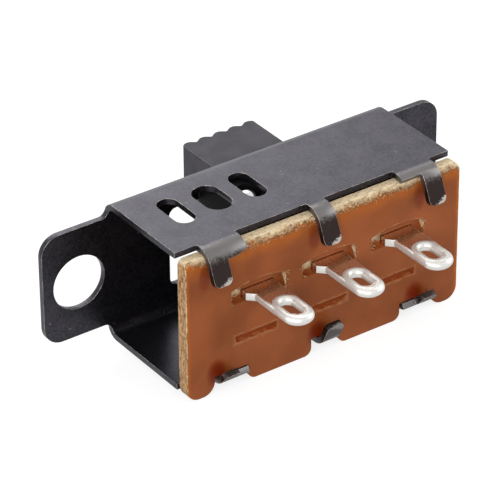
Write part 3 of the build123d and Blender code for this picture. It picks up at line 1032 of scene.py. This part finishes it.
@dataclass
class SoftenedPart:
    """A CAD node shown with the small radii that punching, folding or moulding leaves.

    Attributes:
        node: CAD node that it stands for.
        body: Body that it rides on.
        slot: The record's material slot; not used.
        finish: Main finish.
        radius: Edge radius in metres.
        segments: Steps round an edge.
        crease: Least angle in degrees between the faces of an edge that is rounded.
        flat_within: Angle in degrees below which faces are joined into one.
        merge_within: Distance in metres below which corners are joined.
        flat_weight: How much large faces lead in the shading, of 100.
        edge: Finish of the rounded edges, or None for the main one.
        wall: Finish of the faces that is_wall picks, or None for the main one.
        is_wall: Tells from a face's normal and middle whether it takes the wall finish.
    """

    node: str
    body: str
    slot: str
    finish: Finish
    radius: float
    segments: int = 2
    crease: float = 35.0
    flat_within: float = 0.5
    merge_within: float = 0.001 * MM
    flat_weight: int = 100
    edge: Optional[Finish] = None
    wall: Optional[Finish] = None
    is_wall: Optional[Callable[[Vector, Vector], bool]] = None

    def build(self) -> bpy.types.Object:
        """Builds the piece.

        Returns:
            The piece, which replaces the node.
        """
        mesh = self._whole_faces()
        self._dress(mesh)
        source = add_object(f"{self.node}_source", mesh)
        bevel = source.modifiers.new("edges", "BEVEL")
        bevel.width = self.radius
        bevel.segments = self.segments
        bevel.limit_method = "ANGLE"
        bevel.angle_limit = math.radians(self.crease)
        bevel.material = Zone.EDGE
        normals = source.modifiers.new("normals", "WEIGHTED_NORMAL")
        normals.weight = self.flat_weight
        mesh = plain_mesh(source, f"{self.node}_soft")
        piece = add_piece(f"{self.node}_soft", mesh, self.body)
        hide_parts(self.node)
        return piece

    def _whole_faces(self) -> bpy.types.Mesh:
        """Copies the node's mesh and joins its triangles into whole faces.

        Returns:
            The mesh.
        """
        mesh = bpy.data.meshes.new(f"{self.node}_whole")
        work = bmesh.new()
        work.from_mesh(frame["nodes"][self.node].data)
        bmesh.ops.remove_doubles(work, verts=work.verts, dist=self.merge_within)
        bmesh.ops.dissolve_limit(work, angle_limit=math.radians(self.flat_within), verts=work.verts,
                                 edges=work.edges, use_dissolve_boundaries=False)
        work.to_mesh(mesh)
        work.free()
        mesh.shade_smooth()
        return mesh

    def _dress(self, mesh: bpy.types.Mesh) -> None:
        """Gives each face its finish, and keeps one for the edges.

        Args:
            mesh: The mesh with whole faces.
        """
        finishes = {Zone.FACE: self.finish, Zone.EDGE: self.edge, Zone.WALL: self.wall}
        for zone in Zone:
            mesh.materials.append((finishes[zone] or self.finish).material())
        for face in mesh.polygons:
            picked = self.is_wall is not None and self.is_wall(face.normal, face.center)
            face.material_index = Zone.WALL if picked else Zone.FACE


@dataclass
class SolderRing:
    """Rounded, tin-coated ring around a lug's solder eye.

    Attributes:
        mount: The record's mount at the eye.
        eye: Length and width of the eye in metres.
        ring: Length and width of the ring in metres.
        shift: How far the ring's middle lies beyond the eye's, towards the tip, in metres.
        thickness: Greatest thickness in metres.
        proud: How far the bead covers the coined ring under it, in metres.
        steps: Steps around the ring.
        sides: Steps around the bead.
    """

    mount: str
    eye: Pair = (1.9 * MM, 1.0 * MM)
    ring: Pair = (3.5 * MM, 2.25 * MM)
    shift: float = 0.15 * MM
    thickness: float = 0.67 * MM
    proud: float = 0.035 * MM
    steps: int = 72
    sides: int = 20

    def build(self) -> bpy.types.Object:
        """Builds the ring as a bead of oval section, between the eye's and the ring's outline.

        Returns:
            The ring, riding on the housing.
        """
        mounts = frame["record"]["mounts"]
        centre = Vector(next(m["pos_m"] for m in mounts if m["name"] == self.mount))
        rise = Vector((0, 0, self.thickness / 2 + self.proud))
        vertices = []
        for step in range(self.steps):
            turn = math.tau * (step + 0.5) / self.steps
            inner = self._on_outline(self.eye, turn)
            outer = self._on_outline(self.ring, turn) - Vector((0, self.shift, 0))
            middle = centre + (inner + outer) / 2
            reach = (outer - inner) / 2
            reach *= 1 + self.proud / reach.length
            for side in range(self.sides):
                around = math.tau * side / self.sides
                vertices.append(middle + reach * math.cos(around) + rise * math.sin(around))
        mesh = bpy.data.meshes.new(f"{self.mount}_ring")
        mesh.from_pydata(vertices, [], self._faces())
        mesh.shade_smooth()
        mesh.materials.append(Finish.FROSTED_TIN.material())
        return add_piece(f"{self.mount}_ring", mesh, "housing")

    def _faces(self) -> list[tuple[int, int, int, int]]:
        """Numbers the corners of the bead's faces, closed both ways.

        Returns:
            The faces.
        """
        faces = []
        for step in range(self.steps):
            here = step * self.sides
            there = (step + 1) % self.steps * self.sides
            for side in range(self.sides):
                beside = (side + 1) % self.sides
                faces.append((here + side, there + side, there + beside, here + beside))
        return faces

    @staticmethod
    def _on_outline(size: Pair, turn: float) -> Vector:
        """Finds a point on a round-ended outline that is long in Y.

        Args:
            size: Length and width.
            turn: Direction of the point, in radians from +X.

        Returns:
            The point, from the outline's middle.
        """
        radius = size[1] / 2
        straight = math.copysign(size[0] / 2 - radius, math.sin(turn))
        return Vector((radius * math.cos(turn), radius * math.sin(turn) + straight, 0))


@dataclass
class TornFibres:
    """Short paper fibres that stand out of the punched edges.

    Attributes:
        spacing: Distance between neighbouring fibres in metres.
        length: Length of a fibre in metres.
        thickness: Radius of a fibre at its foot in metres.
        spread: How far off the edge a fibre may lie in metres.
        least: Smallest width and length of a fibre, over the full ones.
        most: Greatest width and length, likewise.
        sides: Sides of a fibre.
        seed: Seed of their places, turns and sizes.
    """

    spacing: float = 0.09 * MM
    length: float = 0.34 * MM
    thickness: float = 0.05 * MM
    spread: float = 0.1 * MM
    least: Pair = (0.4, 0.4)
    most: Pair = (1.1, 1.3)
    sides: int = 5
    seed: int = 7

    def build(self, name: str, paths: Sequence[Sequence[Vector]]) -> bpy.types.Object:
        """Scatters fibres along edges.

        Args:
            name: Name of the piece.
            paths: The edges, each as its points in metres.

        Returns:
            The fibres, riding on the housing.
        """
        mesh = bpy.data.meshes.new(f"{name}_paths")
        edges = []
        points = []
        for path in paths:
            edges += [(len(points) + i, len(points) + i + 1) for i in range(len(path) - 1)]
            points += path
        mesh.from_pydata(points, edges, [])
        source = add_object(f"{name}_source", mesh)
        modifier = source.modifiers.new("fibres", "NODES")
        modifier.node_group = self._tree()
        values = {"Spacing": self.spacing, "Length": self.length, "Thickness": self.thickness,
                  "Spread": self.spread, "Least": (self.least[0], *self.least),
                  "Most": (self.most[0], *self.most), "Sides": self.sides, "Seed": self.seed,
                  "Material": Finish.TORN_LAMINATE.material()}
        for item in modifier.node_group.interface.items_tree:
            if item.name in values:
                modifier[item.identifier] = values[item.name]
        return add_piece(name, plain_mesh(source, name), "housing")

    @staticmethod
    def _tree() -> bpy.types.NodeTree:
        """Builds the tree that scatters fibres along a mesh's edges.

        Returns:
            The tree, with an input for each size, the seed and the material.
        """
        group = bpy.data.node_groups.new("torn_fibres", "GeometryNodeTree")
        tree = NodeTree(group)
        sockets = {"Geometry": "NodeSocketGeometry", "Spacing": "NodeSocketFloat",
                   "Length": "NodeSocketFloat", "Thickness": "NodeSocketFloat",
                   "Spread": "NodeSocketFloat", "Least": "NodeSocketVector",
                   "Most": "NodeSocketVector", "Sides": "NodeSocketInt", "Seed": "NodeSocketInt",
                   "Material": "NodeSocketMaterial"}
        for name, kind in sockets.items():
            group.interface.new_socket(name, in_out="INPUT", socket_type=kind)
        group.interface.new_socket("Geometry", in_out="OUTPUT", socket_type="NodeSocketGeometry")
        given = tree.add("NodeGroupInput").outputs
        seed = given["Seed"]
        curve = tree.add("GeometryNodeMeshToCurve", given["Geometry"])
        points = tree.add("GeometryNodeCurveToPoints", curve, mode="LENGTH",
                          Length=given["Spacing"])
        most = tree.add(VECTOR, (1, 1, 1), operation="SCALE", Scale=given["Spread"])
        least = tree.add(VECTOR, (-1, -1, -1), operation="SCALE", Scale=given["Spread"])
        offset = tree.add(RANDOM, data_type="FLOAT_VECTOR", Min=least, Max=most, Seed=seed)
        scattered = tree.add("GeometryNodeSetPosition", points, Offset=offset)
        fibre = tree.add("GeometryNodeMeshCone", fill_type="NGON", Vertices=given["Sides"],
                         Radius_Bottom=given["Thickness"], Depth=given["Length"])
        turn = tree.add(RANDOM, data_type="FLOAT_VECTOR", Min=(-math.pi,) * 3, Max=(math.pi,) * 3,
                        Seed=seed)
        size = tree.add(RANDOM, data_type="FLOAT_VECTOR", Min=given["Least"], Max=given["Most"],
                        Seed=seed)
        placed = tree.add("GeometryNodeInstanceOnPoints", scattered, Instance=fibre, Rotation=turn,
                          Scale=size)
        real = tree.add("GeometryNodeRealizeInstances", placed)
        dressed = tree.add("GeometryNodeSetMaterial", real, Material=given["Material"])
        tree.add("NodeGroupOutput", dressed)
        return group


@dataclass
class FoldedFrame:
    """The folded steel frame.

    Attributes:
        edge_radius: Radius of the sheared edges in metres.
    """

    edge_radius: float = 0.12 * MM

    def build(self) -> list[bpy.types.Object]:
        """Builds and dresses the frame.

        Returns:
            Its pieces.
        """
        # Its rounded edges take the rubbed steel painted lighter as a highlight.
        sheet = SoftenedPart("frame", "housing", "black_steel", Finish.BLACK_STEEL,
                             self.edge_radius, edge=Finish.EDGE_WEAR_AND_HIGHLIGHT)
        return [sheet.build()]


@dataclass
class TerminalBoard:
    """The laminate board with its torn edges, and the three tinned terminals.

    Attributes:
        edge_radius: Radius of the board's edges in metres.
        lug_radius: Radius of the terminals' edges in metres.
        break_height: Height of the board's broken top edge in metres.
        corner: Distance that the fibres keep from the board's ends in metres.
        face_half: Half length and half height of the face that holds all openings, in metres.
        second_row: Share of the break's height at which a second row of fibres stands.
    """

    edge_radius: float = 0.05 * MM
    lug_radius: float = 0.06 * MM
    break_height: float = 0.5 * MM
    corner: float = 0.6 * MM
    face_half: Pair = (9.0 * MM, 4.0 * MM)
    second_row: float = 0.6

    def build(self) -> list[bpy.types.Object]:
        """Builds and dresses the board and the terminals.

        Returns:
            Their pieces.
        """
        board = SoftenedPart("terminal_board", "housing", "laminate", Finish.LAMINATE,
                             self.edge_radius, wall=Finish.TORN_LAMINATE, is_wall=self._is_torn)
        pieces = [board.build(), TornFibres().build("torn_fibres", self._torn_edges())]
        for place in ("left", "middle", "right"):
            terminal = SoftenedPart(f"terminal_{place}", "housing", "tinned_brass",
                                    Finish.BRIGHT_TIN, self.lug_radius, edge=Finish.FROSTED_TIN,
                                    wall=Finish.FROSTED_TIN, is_wall=self._is_sheared)
            pieces += [terminal.build(), SolderRing(f"eye_{place}").build()]
        return pieces

    @staticmethod
    def _is_sheared(normal: Vector, centre: Vector) -> bool:
        """True for a lug's sheared edges outside the board; they don't look up or down."""
        return abs(normal.z) < LOOKS_ALONG and centre.y < Laminate().recess * MM

    def _is_torn(self, normal: Vector, centre: Vector) -> bool:
        """True for the board's outer walls, but not for its broken edge or what is in its face."""
        inner = abs(centre.x) < self.face_half[0] and abs(centre.z) < self.face_half[1]
        return abs(normal.y) < LOOKS_ALONG and not inner

    def _torn_edges(self) -> list[list[Vector]]:
        """Finds the edges that fibres stand out of, on the board's outer face.

        Returns:
            The broken top edge, twice, and both ends of each lanced area.
        """
        low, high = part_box("terminal_board")
        outer = low[1]
        edges = []
        for drop in (self.break_height, self.second_row * self.break_height):
            z = high[2] - drop
            edges.append([Vector((low[0] + self.corner, outer, z)),
                          Vector((high[0] - self.corner, outer, z))])
        middle, half, foot, shoulder, _ = Laminate().lance
        for index in (-1, 0, 1):
            for end in (-half, half):
                x = (middle + index * Laminate().pitch + end) * MM
                edges.append([Vector((x, outer, foot * MM)), Vector((x, outer, shoulder * MM))])
        return edges


@dataclass
class SlideMechanism:
    """The knob with its carrier, and the contact, springs and ball that it moves.

    The springs stay out of sight and keep the plain steel of their nodes.

    Attributes:
        edge_radius: Radius of the moulding's edges in metres.
    """

    edge_radius: float = 0.1 * MM

    def build(self) -> list[bpy.types.Object]:
        """Builds the slider, and dresses it, the contact and the ball.

        Returns:
            The slider's pieces.
        """
        dress_node("moving_contact", Finish.CONTACT_BRONZE)
        dress_node("detent_ball", Finish.BALL_STEEL)
        # Its rounded edges are painted lighter as a highlight, and partly rubbed.
        slider = SoftenedPart("slider", "slider", "knob_plastic", Finish.PLASTIC, self.edge_radius,
                              edge=Finish.RUBBED_HIGHLIGHT_PLASTIC)
        return [slider.build()]


@dataclass(frozen=True)
class Lamp:
    """A soft square lamp that faces the object.

    Attributes:
        name: Name of the lamp.
        place: Its place in metres.
        size: Its side in metres.
        watts: Its power.
    """

    name: str
    place: Triple
    size: float
    watts: float

    def build(self) -> None:
        """Adds the lamp."""
        data = bpy.data.lights.new(self.name, "AREA")
        data.size = self.size
        data.energy = self.watts
        place = Vector(self.place)
        turn = place.to_track_quat("Z", "Y").to_matrix().to_4x4()
        add_object(self.name, data).matrix_world = Matrix.Translation(place) @ turn


@dataclass
class Studio:
    """Camera, lamps, white surroundings and floor.

    Attributes:
        place: Camera's place in metres.
        azimuth: Camera's turn about Z in degrees; at 0 it looks along +Y.
        elevation: How far it looks down, in degrees.
        roll: Its turn about its own axis in degrees.
        lens: Focal length in millimetres.
        sensor: Width of the sensor in millimetres.
        near: Least distance that it sees, in metres.
        ambient: Strength of the surroundings as a light.
        floor_colour: Colour of the floor, which the lamps light and the object shades.
        floor_glow: White that the floor adds where it is seen, to reach a plain white.
        floor_half: Half of the floor's side in metres.
        floor_gap: Distance of the floor under the object in metres, too small to see.
        lamps: The lamps.
    """

    place: Triple = (-0.117405, -0.1671, 0.124173)
    azimuth: float = -35.23
    elevation: float = 31.87
    roll: float = -0.35
    lens: float = 240.4
    sensor: float = 36.0
    near: float = 0.01
    ambient: float = 0.4
    floor_colour: str = "#9c9c9c"
    floor_glow: float = 0.78
    floor_half: float = 3.0
    floor_gap: float = 0.02 * MM
    lamps: tuple[Lamp, ...] = (Lamp("back_softbox", (0.08, 0.33, 0.25), 0.32, 0.97),
                               Lamp("front_fill", (-0.28, -0.30, 0.24), 0.30, 1.1),
                               Lamp("left_fill", (-0.38, 0.03, 0.16), 0.25, 0.5),
                               Lamp("right_fill", (0.35, -0.12, 0.18), 0.25, 0.5))

    def build(self) -> None:
        """Adds everything."""
        self._camera()
        self._floor()
        self._world()
        for lamp in self.lamps:
            lamp.build()
        bpy.context.scene.view_settings.view_transform = "Standard"

    def _camera(self) -> None:
        """Adds the camera and makes it the scene's."""
        data = bpy.data.cameras.new("camera")
        data.lens = self.lens
        data.sensor_width = self.sensor
        data.clip_start = self.near
        camera = add_object("camera", data)
        turn = (Matrix.Rotation(math.radians(self.azimuth), 4, "Z")
                @ Matrix.Rotation(math.radians(90 - self.elevation), 4, "X")
                @ Matrix.Rotation(math.radians(self.roll), 4, "Z"))
        camera.matrix_world = Matrix.Translation(self.place) @ turn
        bpy.context.scene.camera = camera

    def _floor(self) -> None:
        """Adds a wide white floor that the object stands on."""
        low = CAD_BOX[0][2] - self.floor_gap
        half = self.floor_half
        mesh = bpy.data.meshes.new("floor")
        corners = [(-half, -half, low), (half, -half, low), (half, half, low), (-half, half, low)]
        mesh.from_pydata(corners, [], [(0, 1, 2, 3)])
        material = bpy.data.materials.new("floor_white")
        tree = Shader(material)
        glow = tree.add(MATH, tree.seen(), self.floor_glow, operation="MULTIPLY")
        tree.finish(Base_Color=linear_from_hex(self.floor_colour), Roughness=0.9,
                    Specular_IOR_Level=0.0, Emission_Color=(1, 1, 1, 1), Emission_Strength=glow)
        mesh.materials.append(material)
        add_object("floor", mesh)

    def _world(self) -> None:
        """Adds white surroundings, dimmer as a light than as what is seen."""
        world = bpy.data.worlds.new("studio")
        bpy.context.scene.world = world
        tree = Shader(world)
        strength = tree.add(RANGE, tree.seen(), 0.0, 1.0, self.ambient, 1.0)
        glow = tree.add("ShaderNodeBackground", (1, 1, 1, 1), strength)
        tree.add("ShaderNodeOutputWorld", glow)


def main() -> None:
    """Builds the switch, piece by piece, then the studio."""
    logging.basicConfig(level=logging.INFO)
    for assembly in (FoldedFrame(), TerminalBoard(), SlideMechanism()):
        for piece in assembly.build():
            LOG.info("%s has %d faces", piece.name, len(piece.data.polygons))
    studio = Studio()
    studio.build()
    LOG.info("studio has %d lamps", len(studio.lamps))


if __name__ == "__main__":
    main()
